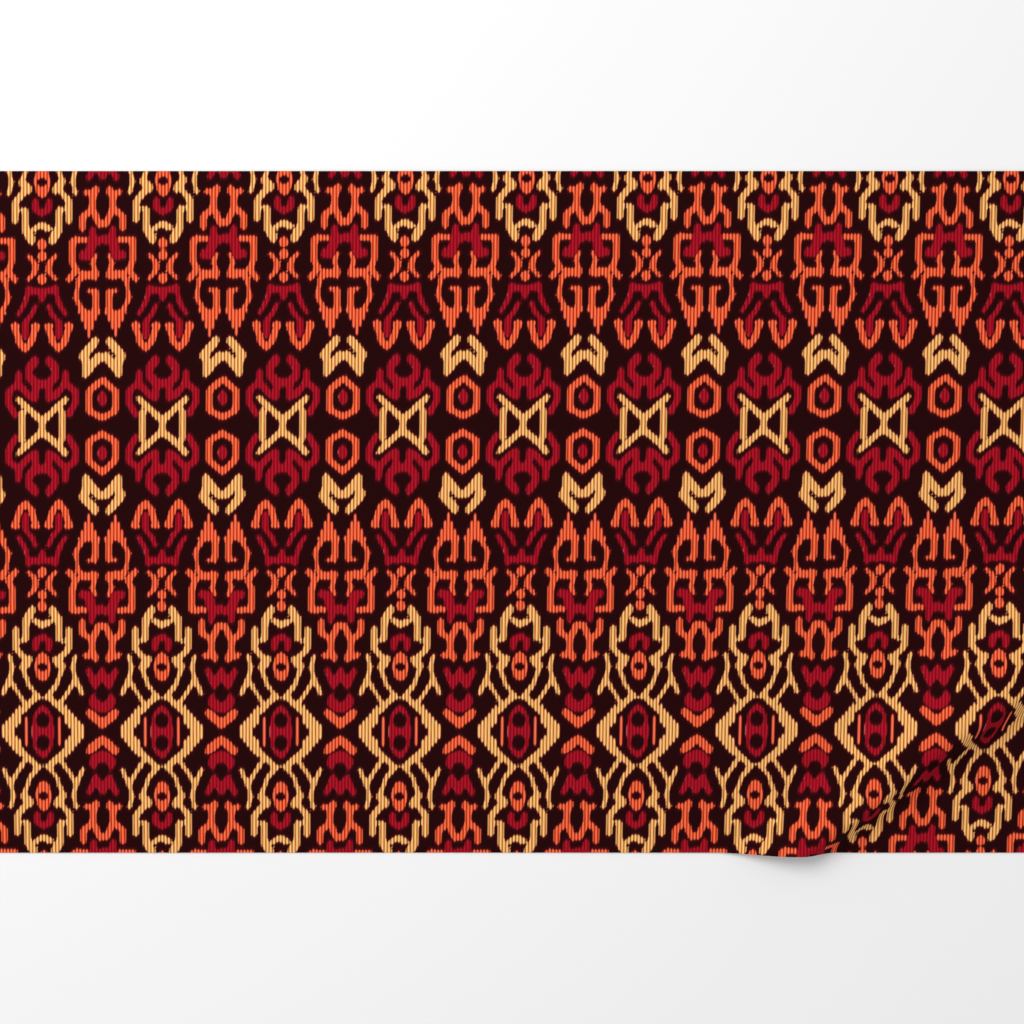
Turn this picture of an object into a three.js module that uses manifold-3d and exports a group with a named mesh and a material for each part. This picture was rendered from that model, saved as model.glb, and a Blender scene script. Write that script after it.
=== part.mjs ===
// A cut length of printed cotton that lies flat, with one soft fold across its right front corner.
// Millimetres, +Z up. The origin is on the surface it lies on, under the middle of the cloth.
// +X runs along the cloth's long side and +Y towards its back edge.
import * as THREE from "three";
import { mergeVertices } from "three/addons/utils/BufferGeometryUtils.js";
import Module from "manifold-3d";

// Driving dimensions
const CLOTH_WIDTH = 540;
const CLOTH_LENGTH = 355;
const CLOTH_THICKNESS = 1;
const CLOTH_COLOR = 0x4a1416;
const CLOTH_ROUGHNESS = 0.9;

// The fold: its crest runs from the front edge to the right edge, and it takes up the same
// length of cloth at every place, so the corner beyond it lies flat and square again.
const CREST_ANGLE = THREE.MathUtils.degToRad(37.5);
const CREST_POINT = new THREE.Vector2(214.6, -126.8);
const TAKE_UP = 7.8;
// The share of a slope's width over which it bends, at its foot and again at the crest
const BEND_SHARE = 0.35;

// A row for each section across the fold: its station along the crest, how far the crest wanders
// sideways there, and the plan widths of the long slope behind the crest and of the steep one ahead
const FOLD_SECTIONS = [
  { station: -150, wander: -1.0, slope: 26, drop: 11.0 },
  { station: -90, wander: 0.6, slope: 27, drop: 11.5 },
  { station: -40, wander: 1.0, slope: 34, drop: 13.5 },
  { station: 10, wander: -0.8, slope: 43, drop: 15.5 },
  { station: 60, wander: 0.6, slope: 58, drop: 17.0 },
  { station: 130, wander: 0.0, slope: 64, drop: 18.0 },
];

// How finely the fold is faceted
const STATION_STEP = 13;
const SLOPE_STEPS = 9;
const DROP_STEPS = 9;
const ARC_STEPS = 80;
const HEIGHT_TRIALS = 40;

// How far the uncut sheet runs past the fold on each side, well beyond the outline
const UNCUT = { before: 300, after: 130, behind: 560, ahead: 100 };
const CUTTER_HEIGHT = 80;

const along = new THREE.Vector2(Math.cos(CREST_ANGLE), Math.sin(CREST_ANGLE));
const across = new THREE.Vector2(Math.sin(CREST_ANGLE), -Math.cos(CREST_ANGLE));

const foldTable = new THREE.CubicInterpolant(
  FOLD_SECTIONS.map((row) => row.station),
  FOLD_SECTIONS.flatMap((row) => [row.wander, row.slope, row.drop]),
  3,
);

// A rise from 0 to 1 that bends at both ends and runs straight between them
function easedRise(x) {
  const steepness = 1 / (1 - BEND_SHARE);
  if (x < BEND_SHARE) return (steepness * x * x) / (2 * BEND_SHARE);
  if (x > 1 - BEND_SHARE) return 1 - (steepness * (1 - x) ** 2) / (2 * BEND_SHARE);
  return steepness * (x - BEND_SHARE / 2);
}

// Length of a slope of the given plan width and height
function slopeLength(width, height) {
  let length = 0;
  for (let step = 0; step < ARC_STEPS; step += 1) {
    const rise = height * (easedRise((step + 1) / ARC_STEPS) - easedRise(step / ARC_STEPS));
    length += Math.hypot(width / ARC_STEPS, rise);
  }
  return length;
}

// The crest's height that takes up the fold's length of cloth between these two slopes
function crestHeight(slope, drop) {
  let low = 0;
  let high = slope;
  for (let trial = 0; trial < HEIGHT_TRIALS; trial += 1) {
    const middle = (low + high) / 2;
    const takenUp = slopeLength(slope, middle) + slopeLength(drop, middle) - slope - drop;
    if (takenUp < TAKE_UP) low = middle;
    else high = middle;
  }
  return low;
}

// The underside's line across the fold at one station, as places across the crest and heights
function foldLine(station) {
  const [wander, slope, drop] = foldTable.evaluate(station);
  const height = crestHeight(slope, drop);
  const line = [new THREE.Vector2(-UNCUT.behind, 0)];
  for (let step = 0; step <= SLOPE_STEPS; step += 1) {
    const share = step / SLOPE_STEPS;
    line.push(new THREE.Vector2(wander - slope * (1 - share), height * easedRise(share)));
  }
  for (let step = 1; step <= DROP_STEPS; step += 1) {
    const share = step / DROP_STEPS;
    line.push(new THREE.Vector2(wander + drop * share, height * easedRise(1 - share)));
  }
  line.push(new THREE.Vector2(UNCUT.ahead, 0));
  return line;
}

// The same line moved out by the cloth's thickness, square to itself
function topLine(line) {
  return line.map((point, index) => {
    const before = line[Math.max(index - 1, 0)];
    const after = line[Math.min(index + 1, line.length - 1)];
    const run = after.clone().sub(before).normalize();
    const flat = point.y === 0;
    const outward = flat ? new THREE.Vector2(0, 1) : new THREE.Vector2(-run.y, run.x);
    return point.clone().addScaledVector(outward, CLOTH_THICKNESS);
  });
}

// Stations of the sections: the fold's own, and one past each end for the uncut sheet
function sectionStations() {
  const first = FOLD_SECTIONS[0].station;
  const last = FOLD_SECTIONS[FOLD_SECTIONS.length - 1].station;
  const count = Math.round((last - first) / STATION_STEP);
  const stations = [first - UNCUT.before];
  for (let step = 0; step <= count; step += 1) {
    stations.push(first + ((last - first) * step) / count);
  }
  stations.push(last + UNCUT.after);
  return stations.map((place) => ({ place, shape: THREE.MathUtils.clamp(place, first, last) }));
}

// A closed sheet lofted through the sections, larger than the cloth's outline
function foldedSheet() {
  const sections = sectionStations().map(({ place, shape }) => {
    const under = foldLine(shape);
    const loop = [...under, ...topLine(under).reverse()];
    return loop.map((point) => {
      const plan = CREST_POINT.clone().addScaledVector(along, place).addScaledVector(across, point.x);
      return [plan.x, plan.y, point.y];
    });
  });
  const size = sections[0].length;
  const triangles = [];
  for (let row = 0; row + 1 < sections.length; row += 1) {
    for (let column = 0; column < size; column += 1) {
      const next = (column + 1) % size;
      const here = [row * size + column, row * size + next];
      const beyond = [here[0] + size, here[1] + size];
      triangles.push(here[0], beyond[1], here[1], here[0], beyond[0], beyond[1]);
    }
  }
  const half = size / 2;
  for (const { row, flip } of [{ row: 0, flip: false }, { row: sections.length - 1, flip: true }]) {
    for (let column = 0; column + 1 < half; column += 1) {
      const low = row * size + column;
      const high = row * size + size - 1 - column;
      const cap = [low, low + 1, high - 1, low, high - 1, high];
      triangles.push(...(flip ? cap.reverse() : cap));
    }
  }
  const geometry = new THREE.BufferGeometry();
  geometry.setAttribute("position", new THREE.Float32BufferAttribute(sections.flat(2), 3));
  geometry.setIndex(triangles);
  return geometry;
}

// The upright block whose sides are the cloth's cut edges
function outlineBlock() {
  return new THREE.BoxGeometry(CLOTH_WIDTH, CLOTH_LENGTH, CUTTER_HEIGHT);
}

const wasm = await Module();
wasm.setup();

function toSolid(geometry) {
  const bare = geometry.clone();
  bare.deleteAttribute("normal");
  bare.deleteAttribute("uv");
  const merged = mergeVertices(bare);
  const mesh = new wasm.Mesh({
    numProp: 3,
    vertProperties: new Float32Array(merged.attributes.position.array),
    triVerts: new Uint32Array(merged.index.array),
  });
  return new wasm.Manifold(mesh);
}

function toGeometry(solid) {
  const mesh = solid.getMesh();
  const geometry = new THREE.BufferGeometry();
  geometry.setAttribute("position", new THREE.BufferAttribute(mesh.vertProperties, 3));
  geometry.setIndex(new THREE.BufferAttribute(mesh.triVerts, 1));
  geometry.computeVertexNormals();
  return geometry;
}

const clothGeometry = toGeometry(toSolid(foldedSheet()).intersect(toSolid(outlineBlock())));
const clothMaterial = new THREE.MeshStandardMaterial({
  color: CLOTH_COLOR,
  roughness: CLOTH_ROUGHNESS,
  metalness: 0,
});
const cloth = new THREE.Mesh(clothGeometry, clothMaterial);
cloth.name = "cloth";

const group = new THREE.Group();
group.add(cloth);

export default group;
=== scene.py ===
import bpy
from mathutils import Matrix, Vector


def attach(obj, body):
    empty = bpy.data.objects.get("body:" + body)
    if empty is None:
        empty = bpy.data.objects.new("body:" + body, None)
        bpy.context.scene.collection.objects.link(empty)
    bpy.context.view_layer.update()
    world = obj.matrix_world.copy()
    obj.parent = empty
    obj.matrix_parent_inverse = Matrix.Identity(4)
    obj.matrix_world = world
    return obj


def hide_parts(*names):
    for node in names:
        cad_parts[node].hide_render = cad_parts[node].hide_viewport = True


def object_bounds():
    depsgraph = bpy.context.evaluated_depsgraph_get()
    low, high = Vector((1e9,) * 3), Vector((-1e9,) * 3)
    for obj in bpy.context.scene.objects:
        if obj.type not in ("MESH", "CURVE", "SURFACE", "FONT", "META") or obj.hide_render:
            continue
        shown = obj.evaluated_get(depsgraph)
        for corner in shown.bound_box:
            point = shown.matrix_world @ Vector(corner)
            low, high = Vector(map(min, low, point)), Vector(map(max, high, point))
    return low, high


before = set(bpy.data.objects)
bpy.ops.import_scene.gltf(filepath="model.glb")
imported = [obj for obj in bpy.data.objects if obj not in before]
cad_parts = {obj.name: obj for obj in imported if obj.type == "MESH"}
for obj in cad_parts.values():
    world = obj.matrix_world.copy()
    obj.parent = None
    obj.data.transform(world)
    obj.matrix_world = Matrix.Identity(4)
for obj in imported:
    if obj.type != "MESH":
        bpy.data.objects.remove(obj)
CAD_BOX = [list(corner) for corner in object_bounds()]

import math
from typing import NamedTuple

import bmesh
import bpy
import numpy as np
from bpy.props import FloatProperty, FloatVectorProperty, IntProperty, PointerProperty
from mathutils import Vector

bl_info = {
    "name": "Printed Cotton Length",
    "version": (1, 0, 0),
    "blender": (4, 5, 0),
    "location": "View3D > Sidebar > Cotton",
    "description": "Lays a cut length of line-printed cotton with one soft fold, on a lit studio floor",
    "category": "Object",
}

MM = 0.001
CLOTH_NODE = "cloth"
MOST_TRIANGLES = 200_000
# How near to a cut a corner counts as on it, in metres
CUT_TOLERANCE = 1e-7
# Cloth laid past the outline before it is cut, as a multiple of the fold's take-up
CUT_MARGIN = 3
# The one place on the bake map that all the cut edges share
RIM_BAKE_SPOT = (0.75, 0.25)

# The chart of the print. One column of the repeat is LINES printed lines wide, and the column
# and its rows are both mirrored, so the chart covers lines 0 to 18 and one half repeat along them.
# Line 0 is the star's axis and line 18 the hexagon's. Lengths along a line are in millimetres
# from the star's row.
LINES = 36
HALF_LINES = LINES // 2
COLUMN_PITCH = 62.3
HALF_REPEAT = 160.0
REPEAT_LINES = 2 * HALF_REPEAT / COLUMN_PITCH * LINES
DYES = ("ground", "crimson", "orange", "yellow")


class Stroke(NamedTuple):
    """A drawn line: its dye, its width in millimetres, and its path of (line, millimetre) points."""

    dye: str
    width: float
    path: tuple


class Spot(NamedTuple):
    """An oval: its dye, its centre, and its half width in lines and half length in millimetres."""

    dye: str
    centre: tuple
    reach: tuple


class Run(NamedTuple):
    """One dyed stretch of one printed line, from start to end in millimetres."""

    dye: str
    line: int
    start: float
    end: float


# Widths of the drawn lines, in millimetres
FINE = 2.6
PLAIN = 3.6
BROAD = 4.8

# The motifs are simplified from the photo's. Many of their points are readings of it, rounded to
# whole lines and 2 mm steps.
CHART = {
    "star": (
        Stroke("yellow", BROAD, ((0, 0), (0, 4))),
        Stroke("yellow", PLAIN, ((1, 4), (7, 14))),
        Stroke("yellow", FINE, ((6, 0), (6, 8))),
    ),
    "horns": (
        Stroke("crimson", PLAIN, ((8, 6), (10, 12), (10, 18), (7, 22), (4, 16), (2, 14))),
        Stroke("crimson", FINE, ((7, 22), (7, 28))),
        Stroke("crimson", FINE, ((2, 14), (2, 22))),
        Stroke("crimson", BROAD, ((0, 22), (2, 22), (4, 26), (4, 30), (2, 34))),
    ),
    "hooks": (
        Stroke("orange", PLAIN, ((2, 52), (3, 44), (5, 40), (7, 44), (8, 52))),
        Spot("orange", (2, 52), (1.5, 2)),
        Spot("orange", (8, 52), (1.5, 2)),
    ),
    "tree": (
        Stroke("crimson", FINE, ((5, 46), (5, 54), (3, 58), (2, 62))),
        Stroke("crimson", FINE, ((7, 58), (5, 64), (4, 72))),
        Stroke("crimson", PLAIN, ((0, 66), (0, 70), (4, 70))),
    ),
    "flower": (
        Spot("orange", (0, 76), (1.5, 3)),
        Spot("orange", (0, 88), (1.5, 3)),
        Stroke("orange", FINE, ((4, 76), (2, 80), (2, 84), (4, 88))),
        Spot("orange", (0, 94), (1.5, 3)),
    ),
    "crown": (
        Stroke("yellow", BROAD, ((3, 96), (5, 102))),
        Stroke("yellow", PLAIN, ((0, 104), (2, 102))),
        Stroke("yellow", FINE, ((5, 102), (5, 112), (6, 112))),
        Stroke("yellow", PLAIN, ((8, 106), (8, 116), (6, 120))),
    ),
    "arch": (Stroke("crimson", PLAIN, ((0, 110), (2, 112), (2, 116))),),
    "ring": (
        Spot("orange", (0, 126), (2.5, 8)),
        Spot("ground", (0, 126), (1.5, 2)),
    ),
    "limbs": (
        Stroke("yellow", BROAD, ((4, 122), (6, 126))),
        Stroke("yellow", FINE, ((6, 126), (4, 136), (1, 142))),
        Stroke("yellow", FINE, ((10, 120), (9, 126), (10, 132), (8, 138), (5, 146))),
        Stroke("yellow", FINE, ((10, 132), (12, 140))),
    ),
    "lozenge": (
        Stroke("yellow", PLAIN, ((2, 142), (7, 150))),
        *(
            Run("yellow", 7 + step, 146 + 2 * step, min(HALF_REPEAT, 156 + 2 * step))
            for step in range(6)
        ),
        Run("orange", 5, 152, HALF_REPEAT),
        Spot("crimson", (0, HALF_REPEAT), (3.5, 14)),
        Spot("ground", (0, 154), (2, 4)),
    ),
    "hexagon": (
        Stroke("orange", PLAIN, ((18, 4), (14, 8), (14, 18), (18, 24))),
        Spot("crimson", (18, 14), (1.5, 4)),
    ),
    "fish_tail": (
        Stroke("yellow", FINE, ((13, 26), (13, 38))),
        Stroke("yellow", BROAD, ((13, 28), (17, 36))),
        Stroke("yellow", BROAD, ((12, 36), (16, 44))),
    ),
    "flame": (
        *(Run("orange", 14 + side, 46 + 4 * abs(side), 60) for side in range(-3, 4)),
        Stroke("orange", FINE, ((16, 58), (16, 70), (14, 70))),
        Stroke("orange", FINE, ((12, 60), (10, 66), (11, 76))),
    ),
    "bar": (
        Stroke("orange", BROAD, ((12, 78), (16, 78))),
        Stroke("orange", PLAIN, ((8, 76), (10, 80), (9, 86), (9, 96), (13, 96))),
        Stroke("orange", FINE, ((16, 80), (15, 84), (16, 88))),
    ),
    "wings": (
        Stroke("crimson", BROAD, ((12, 88), (14, 88), (15, 96), (18, 96))),
        Stroke("crimson", FINE, ((15, 96), (15, 102))),
    ),
    "branches": (
        Stroke("orange", PLAIN, ((12, 102), (12, 108), (15, 112), (15, 120))),
        Stroke("orange", PLAIN, ((17, 104), (15, 112))),
        Stroke("orange", PLAIN, ((13, 120), (16, 120), (16, 122))),
    ),
    "vase": (
        Stroke("crimson", PLAIN, ((14, 128), (16, 136), (18, 128))),
        Spot("crimson", (18, 144), (4, 6)),
        Spot("ground", (18, 140), (2, 4)),
    ),
    "chevron": (Stroke("orange", BROAD, ((14, 150), (18, 156))),),
}


class FoldSection(NamedTuple):
    """A section across the fold, in millimetres.

    Its station along the crest, how far the crest wanders sideways there, and the plan widths of the
    long slope behind the crest and of the drop ahead of it.
    """

    station: float
    wander: float
    slope: float
    drop: float


FOLD_SECTIONS = (
    FoldSection(-150, -1.0, 26, 11.0),
    FoldSection(-90, 0.6, 27, 11.5),
    FoldSection(-40, 1.0, 34, 13.5),
    FoldSection(10, -0.8, 43, 15.5),
    FoldSection(60, 0.6, 58, 17.0),
    FoldSection(130, 0.0, 64, 18.0),
)


def srgb(red, green, blue):
    """A linear colour from the 0 to 255 values of a screen colour."""
    return tuple(
        share / 12.92 if share <= 0.04045 else ((share + 0.055) / 1.055) ** 2.4
        for share in (red / 255, green / 255, blue / 255)
    )


def length_property(name, description, default):
    return FloatProperty(name=name, description=description, default=default, unit="LENGTH", precision=5)


def angle_property(name, description, degrees):
    return FloatProperty(name=name, description=description, default=math.radians(degrees), subtype="ANGLE")


def colour_property(name, description, default):
    return FloatVectorProperty(
        name=name, description=description, default=default, subtype="COLOR", min=0.0, max=1.0
    )


class ClothSizes(bpy.types.PropertyGroup):
    """Sizes of the cut cloth and of its fold."""

    width: length_property("Width", "Long side of the lying cloth", CAD_BOX[1][0] - CAD_BOX[0][0])
    length: length_property("Length", "Short side of the lying cloth", CAD_BOX[1][1] - CAD_BOX[0][1])
    thickness: length_property("Thickness", "Thickness of the cotton", 0.5 * MM)
    row_step: length_property("Row step", "Distance between the mesh rows along the lines", 1.6 * MM)
    ripple: length_property("Ripple", "How far the flat cloth lifts in its low waves", 0.25 * MM)
    crest_angle: angle_property("Crest angle", "Direction of the fold's crest from the long side", 37.5)
    crest_x: length_property("Crest X", "A point below the fold's crest", 214.6 * MM)
    crest_y: length_property("Crest Y", "A point below the fold's crest", -126.8 * MM)
    take_up: length_property("Take-up", "Length of cloth that the fold takes up", 7.8 * MM)
    bend_share: FloatProperty(
        name="Bend share", description="Share of a slope's width over which it bends", default=0.35
    )


class PrintSizes(bpy.types.PropertyGroup):
    """Sizes and place of the printed repeat."""

    column_pitch: length_property("Column pitch", "Width of one column of the repeat", COLUMN_PITCH * MM)
    half_repeat: length_property("Half repeat", "From the star's row to the lozenge's", HALF_REPEAT * MM)
    column_place: length_property("Column place", "Where a star's axis crosses the middle line", 5.1 * MM)
    star_row: length_property("Star row", "Height of the star's row over the middle of the cloth", 47.2 * MM)
    column_lean: angle_property("Column lean", "How far the printed lines lean off square", 0.803)
    row_tilt: angle_property("Row tilt", "How far the printed rows tilt off square", 0.203)
    row_bow: length_property("Row bow", "How far the rows spread in the middle of the front edge", 0.75 * MM)
    draw_in: FloatProperty(
        name="Draw-in", description="Share by which the columns draw together at the front", default=0.0045
    )
    slip: length_property("Line slip", "How far each line slips along itself", 0.3 * MM)
    seed: IntProperty(name="Seed", description="Picks the slips of the lines", default=7)


class InkColours(bpy.types.PropertyGroup):
    """Colours of the ground and of the three dyes, in the middle of a line and between two lines. The
    lighter middle and the darker gap hold the print's stripes, and also a painted highlight on the raised
    line and painted shade between the lines.
    """

    ground: colour_property("Ground", "The dark ground", srgb(36, 8, 10))
    bleed: colour_property("Bleed", "The ground beside a dyed shape", srgb(74, 11, 18))
    crimson: colour_property("Crimson", "Crimson, mid line", srgb(172, 25, 42))
    crimson_gap: colour_property("Crimson gap", "Crimson, between lines", srgb(130, 5, 18))
    orange: colour_property("Orange", "Orange, mid line", srgb(255, 120, 76))
    orange_gap: colour_property("Orange gap", "Orange, between lines", srgb(176, 30, 6))
    yellow: colour_property("Yellow", "Yellow, mid line", srgb(255, 208, 130))
    yellow_gap: colour_property("Yellow gap", "Yellow, between lines", srgb(182, 86, 24))
    pale: colour_property("Pale edge", "The pale left edge of a dyed shape", srgb(235, 150, 150))
    reverse: colour_property("Reverse", "The unprinted side of the cloth", srgb(84, 34, 34))


class StageSizes(bpy.types.PropertyGroup):
    """The camera and the light."""

    lens: FloatProperty(name="Lens", description="Focal length in millimetres", default=85.0)
    distance: length_property("Distance", "From the camera to the cloth", 1.2565)
    tilt: angle_property("Tilt", "How far the camera leans off upright", 4.154)
    aim_y: length_property("Aim", "The point that the camera looks at, from the cloth's middle", 1.69 * MM)
    floor_side: length_property("Floor side", "Side of the floor", 12.0)
    floor: colour_property("Floor", "The floor", (0.9, 0.9, 0.9))
    key_power: FloatProperty(name="Key light", description="Power of the large light in watts", default=26.0)
    key_size: length_property("Key size", "Width of the large light", 1.2)
    key_place: FloatVectorProperty(
        name="Key place", description="Where the large light stands", default=(-1.0, 1.0, 1.5), unit="LENGTH"
    )
    sky: FloatProperty(name="Sky light", description="Strength of the even light", default=0.62)


class Wire:
    """A number on a node's output socket: arithmetic on it adds Math nodes to the material."""

    def __init__(self, bench, socket):
        self.bench = bench
        self.socket = socket

    def math(self, operation, *operands):
        sockets = dict(enumerate(operands))
        return self.bench.node("ShaderNodeMath", {"operation": operation}, sockets)["Value"]

    def __add__(self, other):
        return self.math("ADD", self, other)

    __radd__ = __add__

    def __sub__(self, other):
        return self.math("SUBTRACT", self, other)

    def __rsub__(self, other):
        return self.math("SUBTRACT", other, self)

    def __mul__(self, other):
        return self.math("MULTIPLY", self, other)

    __rmul__ = __mul__

    def __truediv__(self, other):
        return self.math("DIVIDE", self, other)

    def __rtruediv__(self, other):
        return self.math("DIVIDE", other, self)

    def floor(self):
        return self.math("FLOOR", self)

    def cosine(self):
        return self.math("COSINE", self)

    def sine(self):
        return self.math("SINE", self)

    def larger(self, other):
        return self.math("MAXIMUM", self, other)

    def smooth(self, low, high):
        """0 below low and 1 above high, with a soft step between them."""
        sockets = {"Value": self, "From Min": low, "From Max": high}
        return self.bench.node("ShaderNodeMapRange", {"interpolation_type": "SMOOTHSTEP"}, sockets)["Result"]


class Bench:
    """One material's nodes."""

    def __init__(self, name):
        self.material = bpy.data.materials.new(name)
        self.material.use_nodes = True
        self.tree = self.material.node_tree
        self.shader = self.tree.nodes["Principled BSDF"]

    def node(self, kind, settings, sockets):
        """Adds a node, sets it up, fills its sockets, and gives its outputs by their names."""
        added = self.tree.nodes.new(kind)
        for setting, value in settings.items():
            setattr(added, setting, value)
        for key, value in sockets.items():
            self.fill(added.inputs[key] if isinstance(key, int) else self.input_of(added, key), value)
        return {socket.identifier: Wire(self, socket) for socket in added.outputs}

    def input_of(self, node, key):
        for socket in node.inputs:
            if key in (socket.identifier, socket.name):
                return socket
        raise KeyError(f"{node.bl_idname} has no input {key}")

    def fill(self, socket, value):
        if isinstance(value, Wire):
            self.tree.links.new(value.socket, socket)
        elif socket.type == "RGBA":
            socket.default_value = (*value[:3], 1.0)
        else:
            socket.default_value = value

    def mix(self, share, first, second):
        """A colour that goes from first to second as share goes from 0 to 1."""
        sockets = {"Factor_Float": share, "A_Color": first, "B_Color": second}
        return self.node("ShaderNodeMix", {"data_type": "RGBA"}, sockets)["Result_Color"]

    def finish(self, fixed, varying):
        """Sets the shader's fixed values and links the ones that change over the surface."""
        for key, value in {**fixed, **varying}.items():
            self.fill(self.shader.inputs[key], value)
        return self.material


# The print, worked out from the chart


def covers(shape, line, along, line_pitch):
    """Where a shape of the chart covers these places, given as lines and millimetres along them."""
    if isinstance(shape, Run):
        return (np.round(line) == shape.line) & (along >= shape.start) & (along <= shape.end)
    if isinstance(shape, Spot):
        across = (line - shape.centre[0]) / shape.reach[0]
        return across**2 + ((along - shape.centre[1]) / shape.reach[1]) ** 2 <= 1
    inside = np.zeros(line.shape, bool)
    for (line_a, along_a), (line_b, along_b) in zip(shape.path, shape.path[1:]):
        run_x = (line_b - line_a) * line_pitch
        run_y = along_b - along_a
        from_x = (line - line_a) * line_pitch
        from_y = along - along_a
        share = np.clip((from_x * run_x + from_y * run_y) / (run_x**2 + run_y**2), 0, 1)
        inside |= np.hypot(from_x - share * run_x, from_y - share * run_y) <= shape.width / 2
    return inside


class PrintTable:
    """How far inside or outside each dye every printed line is, along one whole repeat.

    Each line is read a little to the left and to the right of its middle, so the ends of its runs
    slant with the shape that they belong to. The last value of each side is how far inside any dye
    the neighbouring line is.
    """

    # In millimetres along a line, but SIDES is in lines and BLUR_STEPS counts steps
    STEP = 0.2
    SIDES = (-0.4, 0.4)
    SLIP_EVERY = 5.0
    DEEPEST = 1.6
    BLUR_STEPS = 9

    def __init__(self, sizes):
        self.line_pitch = sizes.column_pitch / MM / LINES
        self.half = sizes.half_repeat / MM
        self.repeat = 2 * self.half
        self.count = int(round(self.repeat / self.STEP))
        dye = self.read_chart(sizes)
        self.depth = np.stack([self.depth_of(dye == index) for index in (1, 2, 3)], axis=-1)
        dyed = self.depth_of(dye > 0)
        beside = np.stack([np.roll(dyed[:, 1], 1, axis=0), np.roll(dyed[:, 0], -1, axis=0)], axis=1)
        self.depth = np.concatenate([self.depth, beside[..., None]], axis=-1)
        self.cover = self.soft_cover(dye)

    def read_chart(self, sizes):
        """The dye of each line, side and step of the repeat."""
        chance = np.random.default_rng(sizes.seed)
        knots = int(self.repeat / self.SLIP_EVERY)
        slips = chance.normal(0.0, sizes.slip / MM, (LINES, knots))
        along = np.arange(self.count) * self.STEP
        knot_at = np.arange(knots + 1) * self.repeat / knots
        shifted = np.stack([along + np.interp(along, knot_at, np.append(row, row[0])) for row in slips])
        folded = self.half - np.abs(self.half - np.mod(shifted, self.repeat))
        lines = np.arange(LINES)[:, None] - HALF_LINES + 1 + np.array(self.SIDES)[None]
        lines = HALF_LINES - np.abs(HALF_LINES - np.abs(lines))
        line_grid = np.broadcast_to(lines[:, :, None], (LINES, 2, self.count))
        along_grid = np.broadcast_to(folded[:, None, :], line_grid.shape)
        dye = np.zeros(line_grid.shape, np.int8)
        for shapes in CHART.values():
            for shape in shapes:
                dye[covers(shape, line_grid, along_grid, self.line_pitch)] = DYES.index(shape.dye)
        return dye

    def depth_of(self, mask):
        """Millimetres along the line to the nearest end of a run: above 0 inside, below 0 outside."""
        depth = np.empty(mask.shape)
        places = np.arange(self.count) * self.STEP
        for index in np.ndindex(mask.shape[:2]):
            row = mask[index]
            ends = (np.flatnonzero(row != np.roll(row, 1)) - 0.5) * self.STEP
            if ends.size == 0:
                depth[index] = np.where(row, self.DEEPEST, -self.DEEPEST)
                continue
            ends = np.concatenate([ends - self.repeat, ends, ends + self.repeat])
            after = np.searchsorted(ends, places)
            nearest = np.minimum(ends[after] - places, places - ends[after - 1])
            depth[index] = np.where(row, nearest, -nearest)
        return np.clip(depth, -self.DEEPEST, self.DEEPEST)

    def soft_cover(self, dye):
        """Share of each dye around a place, as it shows on the reverse."""
        reach = self.BLUR_STEPS
        window = np.ones(2 * reach + 1) / (2 * reach + 1)
        cover = np.empty((LINES, self.count, 3))
        for index in (1, 2, 3):
            share = (dye == index).mean(axis=1)
            for line in range(LINES):
                padded = np.concatenate([share[line, -reach:], share[line], share[line, :reach]])
                cover[line, :, index - 1] = np.convolve(padded, window, mode="valid")
        return (np.roll(cover, 1, axis=0) + cover) / 2

    def look_up(self, table, line, along):
        """Values of a table for whole line numbers and millimetres along them."""
        place = np.mod(along, self.repeat) / self.STEP
        low = np.floor(place).astype(int)
        share = (place - low)[..., None]
        row = np.mod(line + HALF_LINES - 1, LINES)
        return (1 - share) * table[row, low % self.count] + share * table[row, (low + 1) % self.count]


# The lying cloth


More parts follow.
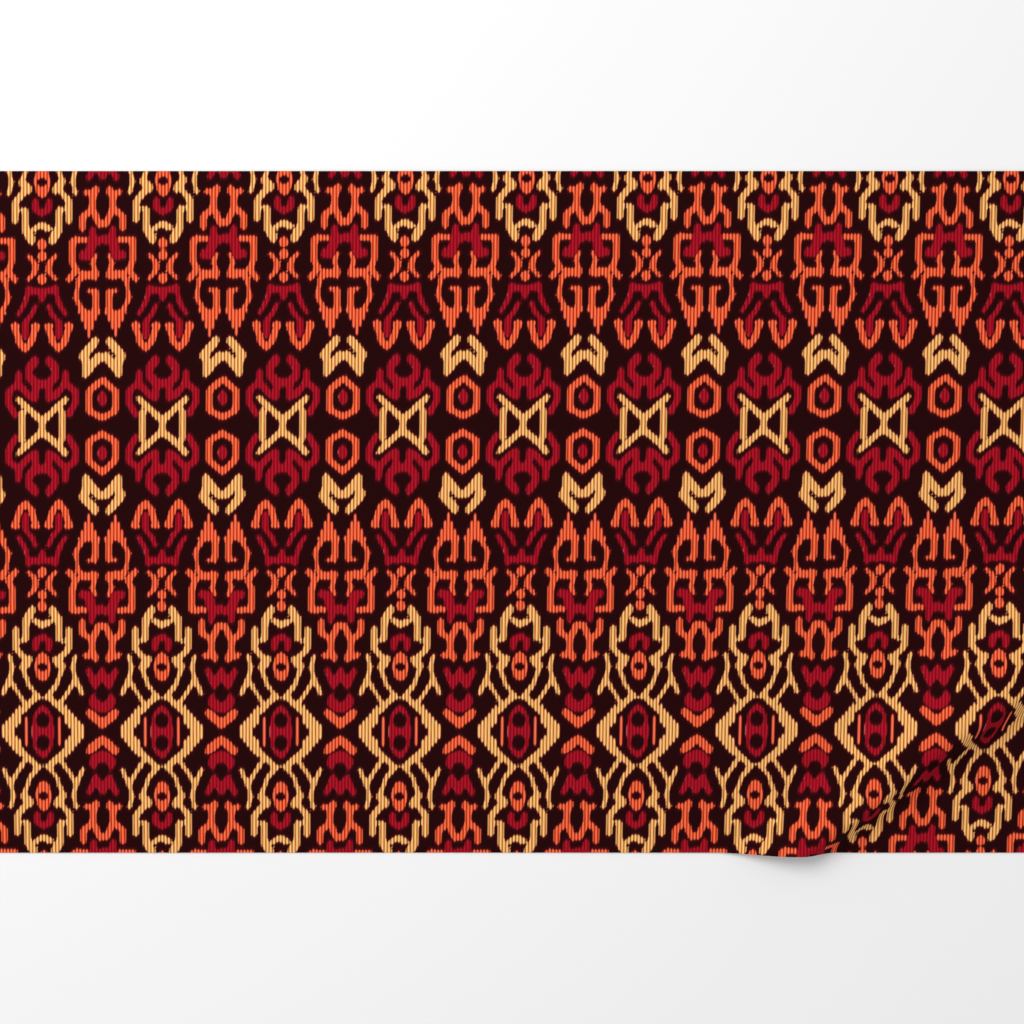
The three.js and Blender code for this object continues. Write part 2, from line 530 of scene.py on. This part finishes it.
class Fold:
    """Where the points of the flat cloth lie, over the fold and beyond it."""

    STEPS = 160
    HALVINGS = 40
    # Radians for each metre along X and Y, and the phase, of each low wave
    WAVES = ((21.0, 9.0, 0.6), (-13.0, 27.0, 2.1))
    WAVE_MEAN = 0.55
    WAVE_SWING = 0.25

    def __init__(self, sizes):
        self.origin = np.array([sizes.crest_x, sizes.crest_y])
        self.along = np.array([math.cos(sizes.crest_angle), math.sin(sizes.crest_angle)])
        self.across = np.array([self.along[1], -self.along[0]])
        self.take_up = sizes.take_up
        self.bend_share = sizes.bend_share
        self.ripple = sizes.ripple
        table = np.array(FOLD_SECTIONS) * MM
        self.stations = np.arange(table[0, 0], table[-1, 0], MM)
        self.wander, self.slope, self.drop = (
            smooth_column(table[:, 0], table[:, column], self.stations) for column in (1, 2, 3)
        )
        self.length = self.slope + self.drop + self.take_up
        self.build_sections()

    def eased(self, share):
        """A rise from 0 to 1 that bends at both ends and runs straight between them."""
        bend = self.bend_share
        steep = 1 / (1 - bend)
        foot = steep * share**2 / (2 * bend)
        top = 1 - steep * (1 - share) ** 2 / (2 * bend)
        straight = steep * (share - bend / 2)
        return np.where(share < bend, foot, np.where(share > 1 - bend, top, straight))

    def profile(self, slope, drop, height):
        """The fold's line at one station, as places across the crest and heights."""
        share = np.linspace(0, 1, self.STEPS + 1)
        place = np.concatenate([-slope * (1 - share), drop * share[1:]])
        rise = np.concatenate([self.eased(share), self.eased(1 - share[1:])]) * height
        return place, rise

    def crest_height(self, slope, drop):
        """The height at which the fold takes up its length of cloth."""
        low, high = 0.0, slope
        for _ in range(self.HALVINGS):
            middle = (low + high) / 2
            place, rise = self.profile(slope, drop, middle)
            taken = np.hypot(np.diff(place), np.diff(rise)).sum() - slope - drop
            low, high = (middle, high) if taken < self.take_up else (low, middle)
        return low

    def build_sections(self):
        """Place and height for each station and each even share of the cloth's length over the fold."""
        even = np.linspace(0, 1, self.STEPS + 1)
        rows = []
        for wander, slope, drop in zip(self.wander, self.slope, self.drop):
            place, rise = self.profile(slope, drop, self.crest_height(slope, drop))
            walked = np.concatenate([[0], np.cumsum(np.hypot(np.diff(place), np.diff(rise)))])
            walked /= walked[-1]
            rows.append((wander + np.interp(even, walked, place), np.interp(even, walked, rise)))
        sections = np.array(rows)
        run = np.gradient(sections, axis=2)
        size = np.hypot(run[:, 0], run[:, 1])
        self.table = np.stack([sections[:, 0], sections[:, 1], -run[:, 1] / size, run[:, 0] / size], axis=-1)

    def waves(self, points):
        """Low waves of the lying cloth, never below the surface."""
        x, y = points[..., 0], points[..., 1]
        wave = sum(np.sin(turn_x * x + turn_y * y + phase) for turn_x, turn_y, phase in self.WAVES)
        return self.ripple * (self.WAVE_MEAN + self.WAVE_SWING * wave)

    def lay(self, flat, lift):
        """Lying places of flat points, at a height within the cloth's thickness."""
        from_crest = flat - self.origin
        station = np.clip(from_crest @ self.along, self.stations[0], self.stations[-1])
        walked = from_crest @ self.across
        start = np.interp(station, self.stations, self.wander - self.slope)
        share = (walked - start) / np.interp(station, self.stations, self.length)
        row = (station - self.stations[0]) / MM
        section = bilinear(self.table, row, np.clip(share, 0, 1) * self.STEPS)
        over = (share > 0) & (share < 1)
        place = np.where(over, section[..., 0], np.where(share < 0.5, walked, walked - self.take_up))
        height = np.where(over, section[..., 1], 0.0)
        lean = np.where(over, section[..., 2], 0.0)
        upright = np.where(over, section[..., 3], 1.0)
        place = place + lean * lift
        plan = self.origin + (from_crest @ self.along)[..., None] * self.along
        plan = plan + place[..., None] * self.across
        height = height + upright * lift + self.waves(plan)
        return np.concatenate([plan, height[..., None]], axis=-1)


def smooth_column(stations, values, places):
    """A table's column between its rows, on a smooth curve through them."""
    tangent = np.gradient(values, stations)
    index = np.clip(np.searchsorted(stations, places, side="right") - 1, 0, len(stations) - 2)
    span = stations[index + 1] - stations[index]
    x = (places - stations[index]) / span
    ends = (2 * x**3 - 3 * x**2 + 1) * values[index] + (3 * x**2 - 2 * x**3) * values[index + 1]
    slopes = (x**3 - 2 * x**2 + x) * tangent[index] + (x**3 - x**2) * tangent[index + 1]
    return ends + span * slopes


def bilinear(table, row, column):
    """Values of a table between its rows and columns."""
    low_row = np.clip(np.floor(row).astype(int), 0, table.shape[0] - 2)
    low_column = np.clip(np.floor(column).astype(int), 0, table.shape[1] - 2)
    up = (row - low_row)[..., None]
    over = (column - low_column)[..., None]
    near = (1 - over) * table[low_row, low_column] + over * table[low_row, low_column + 1]
    far = (1 - over) * table[low_row + 1, low_column] + over * table[low_row + 1, low_column + 1]
    return (1 - up) * near + up * far


class Layer(NamedTuple):
    """One face of the cloth as a grid: places, corner values and the faces that use them."""

    places: np.ndarray
    faces: np.ndarray
    dye: np.ndarray
    print_map: np.ndarray
    bake_map: np.ndarray
    reverse: float


def grid_faces(rows, columns, upward):
    """Corner numbers of a grid's four-sided faces, seen from above or from below."""
    first = np.arange(rows)[:, None] * (columns + 1) + np.arange(columns)[None]
    corners = [first, first + 1, first + columns + 2, first + columns + 1]
    return np.stack(corners if upward else corners[::-1], axis=-1).reshape(-1, 4)


def cloth_layer(cloth, sizes, table, fold, lines_wide, upward):
    """The printed face, one grid column for each line, or the reverse with wider columns."""
    pitch = sizes.column_pitch / LINES
    margin = CUT_MARGIN * cloth.take_up
    most = (cloth.width / 2 + margin) / pitch
    first = -HALF_LINES - LINES * math.ceil((most - HALF_LINES) / LINES)
    columns = math.ceil((most - first) / lines_wide)
    step = cloth.row_step * lines_wide
    rows = math.ceil((cloth.length + 2 * margin) / step)
    bounds = first + 0.5 + lines_wide * np.arange(columns + 1)
    heights = -cloth.length / 2 - margin + step * np.arange(rows + 1)
    line_grid, height_grid = np.meshgrid(bounds, heights)
    forward = np.clip(-2 * height_grid / cloth.length, 0, 1)
    flat_x = sizes.column_place + line_grid * pitch + math.tan(sizes.column_lean) * height_grid
    flat_x = flat_x * (1 - sizes.draw_in * forward**2)
    flat = np.stack([flat_x, height_grid], axis=-1)
    spread = sizes.row_bow * (1 - 2 * (2 * flat_x / cloth.width) ** 2) * 2 * height_grid / cloth.length
    along = (sizes.star_row + math.tan(sizes.row_tilt) * flat_x - height_grid + spread) / MM
    places = fold.lay(flat, cloth.thickness if upward else 0.0).reshape(-1, 3)
    faces = grid_faces(rows, columns, upward)
    line_of = line_grid.ravel()[faces]
    along_of = along.ravel()[faces]
    middle = line_of.mean(axis=1, keepdims=True)
    if upward:
        line = np.broadcast_to(np.round(middle).astype(int), faces.shape)
        left = table.look_up(table.depth[:, 0], line, along_of)
        right = table.look_up(table.depth[:, 1], line, along_of)
        dye = np.where((line_of > middle)[..., None], right, left)
    else:
        cover = table.look_up(table.cover, np.round(line_of + 0.5).astype(int), along_of)
        dye = np.concatenate([cover, np.zeros((*cover.shape[:2], 1))], axis=-1)
    print_map = np.stack([line_of, along_of * MM / pitch], axis=-1)
    column = np.floor((middle + HALF_LINES - 0.5) / LINES)
    bake_u = (line_of - LINES * column + HALF_LINES - 0.5) / LINES / 2 + (0.0 if upward else 0.5)
    bake_map = np.stack([bake_u, along_of / table.repeat], axis=-1)
    return Layer(places, faces, dye, print_map, bake_map, 0.0 if upward else 1.0)


def layers_mesh(name, layers):
    """One mesh of several layers, with their corner values as attributes."""
    shift = np.cumsum([0] + [len(layer.places) for layer in layers[:-1]])
    places = np.concatenate([layer.places for layer in layers])
    faces = np.concatenate([layer.faces + start for layer, start in zip(layers, shift)])
    mesh = bpy.data.meshes.new(name)
    mesh.vertices.add(len(places))
    mesh.vertices.foreach_set("co", places.ravel())
    mesh.loops.add(faces.size)
    mesh.loops.foreach_set("vertex_index", faces.ravel())
    mesh.polygons.add(len(faces))
    mesh.polygons.foreach_set("loop_start", np.arange(0, faces.size, 4))
    mesh.update(calc_edges=True)
    dye = mesh.attributes.new("dye", "FLOAT_COLOR", "CORNER")
    dye.data.foreach_set("color", np.concatenate([layer.dye for layer in layers]).ravel())
    for map_name, field in (("print", "print_map"), ("OFBake", "bake_map")):
        uv_map = mesh.uv_layers.new(name=map_name)
        uv_map.data.foreach_set("uv", np.concatenate([getattr(layer, field) for layer in layers]).ravel())
    reverse = mesh.attributes.new("reverse", "FLOAT", "FACE")
    reverse.data.foreach_set("value", np.concatenate([np.full(len(x.faces), x.reverse) for x in layers]))
    return mesh


def cut_outline(bm, width, length):
    """Cuts the sheet along the four straight edges of the lying cloth."""
    for axis, half in ((Vector((1, 0, 0)), width / 2), (Vector((0, 1, 0)), length / 2)):
        for side in (-1, 1):
            everything = bm.verts[:] + bm.edges[:] + bm.faces[:]
            edge = axis * side
            bmesh.ops.bisect_plane(
                bm,
                geom=everything,
                dist=CUT_TOLERANCE,
                plane_co=edge * half,
                plane_no=edge,
                clear_outer=True,
            )


def close_edges(bm):
    """Joins the printed face and the reverse along the cut edges."""
    reverse = bm.faces.layers.float["reverse"]
    rim = bmesh.ops.bridge_loops(bm, edges=[edge for edge in bm.edges if edge.is_boundary])["faces"]
    bake = bm.loops.layers.uv["OFBake"]
    for face in bm.faces:
        face.smooth = True
    for face in rim:
        face[reverse] = 1.0
        for loop in face.loops:
            loop[bake].uv = RIM_BAKE_SPOT
    rim_faces = set(rim)
    for face in rim:
        for edge in face.edges:
            if any(other not in rim_faces for other in edge.link_faces):
                edge.smooth = False


def lay_cloth(cloth, sizes):
    """The cloth's object: printed face, reverse and cut edges in one closed mesh."""
    table = PrintTable(sizes)
    fold = Fold(cloth)
    layers = [
        cloth_layer(cloth, sizes, table, fold, lines_wide=1, upward=True),
        cloth_layer(cloth, sizes, table, fold, lines_wide=2, upward=False),
    ]
    mesh = layers_mesh("printed_cloth", layers)
    bm = bmesh.new()
    bm.from_mesh(mesh)
    cut_outline(bm, cloth.width, cloth.length)
    close_edges(bm)
    bm.to_mesh(mesh)
    bm.free()
    mesh.update()
    mesh.calc_loop_triangles()
    if len(mesh.loop_triangles) >= MOST_TRIANGLES:
        raise RuntimeError(f"the cloth has {len(mesh.loop_triangles)} triangles")
    return bpy.data.objects.new("printed_cloth", mesh)


# The finishes

# Waves of tone along one repeat and across one column, and how strong they are
TONE_WAVES_ALONG = 29
TONE_WAVES_ACROSS = 13
TONE_SWING = 0.09
# How far a run draws in at the line's two edges, and how much more beside a bare line, in millimetres
EDGE_INSET = 0.6
BARE_INSET = 1.6
# Soft steps over millimetres inside a dye: the neighbouring line's dye, the bleed around a shape, the
# dye itself, and for the pale edge the dye's depth and the crimson under it
BESIDE_STEP = (-0.6, 0.6)
BLEED_STEP = (-1.5, 0.3)
DYE_STEP = (-0.5, 0.85)
PALE_STEP = (0.2, 1.0)
CRIMSON_STEP = (-0.3, 0.4)
# Where the pale edge starts and is full, as a share of a line left of its middle, and how strong it is
PALE_SIDE = (0.1, 0.4)
PALE_SHARE = 0.12
PALE_ON_CRIMSON = 0.3
# How much of the dye shows on the reverse
GHOST_SHARE = 0.35
# Half waves of the weave in one line's width, and its height beside the printed line's
WEAVE_WAVES = 5
WEAVE_SHARE = 0.5


def printed_cotton(inks):
    """Line print on fine plain-woven cotton, with a paler ghost of it on the reverse."""
    bench = Bench("printed_cotton")
    place = bench.node("ShaderNodeUVMap", {"uv_map": "print"}, {})["UV"]
    place = bench.node("ShaderNodeSeparateXYZ", {}, {0: place})
    line, along = place["X"], place["Y"]
    dye = bench.node("ShaderNodeAttribute", {"attribute_name": "dye"}, {})
    reverse = bench.node("ShaderNodeAttribute", {"attribute_name": "reverse"}, {})["Fac"]
    depth = bench.node("ShaderNodeSeparateColor", {}, {0: dye["Color"]})
    across = (line + 0.5) - (line + 0.5).floor() - 0.5
    turns = TONE_WAVES_ALONG / REPEAT_LINES * along + TONE_WAVES_ACROSS / LINES * line
    tone = TONE_SWING * (2 * math.pi * turns).sine()
    # The rise of each printed line, highest at its middle. It lifts the bump, and in the colour mix it
    # paints a highlight on the middle of the line and shade between the lines.
    rise_and_highlight = 0.5 + (0.5 + tone) * (2 * math.pi * across).cosine()
    outward = 4 * across * across
    inked_beside = dye["Alpha"].smooth(*BESIDE_STEP)
    inset = outward * (EDGE_INSET + BARE_INSET * (1 - inked_beside))
    crimson, orange, yellow = (depth[key] - inset for key in ("Red", "Green", "Blue"))
    nearest = depth["Red"].larger(depth["Green"]).larger(depth["Blue"])
    glow = nearest.smooth(*BLEED_STEP).larger(outward * inked_beside)
    # Each dye runs from its gap colour to its mid-line colour with the rise: the printed stripes, partly a
    # painted highlight on the raised middle and painted shade between the lines.
    shades = (
        (crimson, bench.mix(rise_and_highlight, inks.crimson_gap, inks.crimson)),
        (orange, bench.mix(rise_and_highlight, inks.orange_gap, inks.orange)),
        (yellow, bench.mix(rise_and_highlight, inks.yellow_gap, inks.yellow)),
    )
    front = bench.mix(glow, inks.ground, inks.bleed)
    for depth_in, shade in shades:
        front = bench.mix(depth_in.smooth(*DYE_STEP), front, shade)
    left_edge = (-1 * across).smooth(*PALE_SIDE) * (1 - inked_beside) * nearest.smooth(*PALE_STEP)
    paleness = PALE_SHARE + PALE_ON_CRIMSON * crimson.smooth(*CRIMSON_STEP)
    front = bench.mix(paleness * left_edge, front, inks.pale)
    back = inks.reverse
    for key, ink in (("Red", inks.crimson), ("Green", inks.orange), ("Blue", inks.yellow)):
        back = bench.mix(GHOST_SHARE * depth[key], back, ink)
    colour = bench.mix(reverse, front, back)
    turn = WEAVE_WAVES * math.pi
    weave = (turn * line).sine() * (turn * along).sine()
    height = WEAVE_SHARE * weave + rise_and_highlight
    normal = bench.node(
        "ShaderNodeBump", {}, {"Strength": 0.12, "Distance": 0.1 * MM, "Height": height}
    )["Normal"]
    fixed = {"Roughness": 0.88, "Specular IOR Level": 0.02}
    return bench.finish(fixed, {"Base Color": colour, "Normal": normal})


def floor_finish(colour):
    """Plain pale matt floor."""
    bench = Bench("studio_floor")
    return bench.finish({"Base Color": colour, "Roughness": 0.95, "Specular IOR Level": 0.1}, {})


class ClothOperator(bpy.types.Operator):
    """Lays the printed cloth with its fold"""

    bl_idname = "cotton.lay_cloth"
    bl_label = "Lay Cloth"

    def execute(self, context):
        scene = context.scene
        cloth = lay_cloth(scene.cotton_cloth, scene.cotton_print)
        cloth.data.materials.append(printed_cotton(scene.cotton_inks))
        scene.collection.objects.link(cloth)
        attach(cloth, "root")
        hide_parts(CLOTH_NODE)
        sizes = scene.cotton_cloth
        flat_width = sizes.width + sizes.take_up * math.sin(sizes.crest_angle)
        flat_length = sizes.length + sizes.take_up * math.cos(sizes.crest_angle)
        return {"FINISHED"}


class StageOperator(bpy.types.Operator):
    """Sets the floor, the soft light and the camera above the cloth"""

    bl_idname = "cotton.set_stage"
    bl_label = "Set Stage"

    def execute(self, context):
        scene = context.scene
        stage = scene.cotton_stage
        self.add_floor(scene, stage)
        self.add_light(scene, stage)
        self.add_camera(scene, stage)
        scene.view_settings.view_transform = "Standard"
        return {"FINISHED"}

    def add_floor(self, scene, stage):
        mesh = bpy.data.meshes.new("floor")
        bm = bmesh.new()
        bmesh.ops.create_grid(bm, x_segments=1, y_segments=1, size=stage.floor_side / 2)
        bm.to_mesh(mesh)
        bm.free()
        floor = bpy.data.objects.new("floor", mesh)
        mesh.materials.append(floor_finish(stage.floor))
        scene.collection.objects.link(floor)

    def add_light(self, scene, stage):
        world = bpy.data.worlds.new("soft_sky")
        world.use_nodes = True
        background = world.node_tree.nodes["Background"]
        background.inputs["Color"].default_value = (1.0, 1.0, 1.0, 1.0)
        background.inputs["Strength"].default_value = stage.sky
        scene.world = world
        light = bpy.data.lights.new("key", "AREA")
        light.shape = "DISK"
        light.size = stage.key_size
        light.energy = stage.key_power
        key = bpy.data.objects.new("key", light)
        key.location = stage.key_place
        key.rotation_euler = (-key.location).to_track_quat("-Z", "Y").to_euler()
        scene.collection.objects.link(key)

    def add_camera(self, scene, stage):
        data = bpy.data.cameras.new("camera")
        data.lens = stage.lens
        camera = bpy.data.objects.new("camera", data)
        aim = Vector((0.0, stage.aim_y, 0.0))
        lean = Vector((0.0, math.sin(stage.tilt), math.cos(stage.tilt)))
        camera.location = aim + lean * stage.distance
        camera.rotation_euler = (-stage.tilt, 0.0, 0.0)
        scene.collection.objects.link(camera)
        scene.camera = camera


class CottonPanel(bpy.types.Panel):
    """Lists the cloth's sizes, its inks and the operators"""

    bl_idname = "VIEW3D_PT_cotton"
    bl_label = "Printed Cotton"
    bl_space_type = "VIEW_3D"
    bl_region_type = "UI"
    bl_category = "Cotton"

    def draw(self, context):
        for group in SCENE_GROUPS:
            box = self.layout.box()
            settings = getattr(context.scene, group)
            for name in settings.bl_rna.properties.keys():
                if name not in ("rna_type", "name"):
                    box.prop(settings, name)
        for operator in OPERATORS:
            self.layout.operator(operator.bl_idname)


SCENE_GROUPS = {
    "cotton_cloth": ClothSizes,
    "cotton_print": PrintSizes,
    "cotton_inks": InkColours,
    "cotton_stage": StageSizes,
}
OPERATORS = (StageOperator, ClothOperator)
CLASSES = (*SCENE_GROUPS.values(), *OPERATORS, CottonPanel)


def register():
    for item in CLASSES:
        bpy.utils.register_class(item)
    for name, group in SCENE_GROUPS.items():
        setattr(bpy.types.Scene, name, PointerProperty(type=group))


def unregister():
    for name in SCENE_GROUPS:
        delattr(bpy.types.Scene, name)
    for item in reversed(CLASSES):
        bpy.utils.unregister_class(item)


def main():
    register()
    bpy.ops.cotton.set_stage()
    bpy.ops.cotton.lay_cloth()


if __name__ == "__main__":
    main()
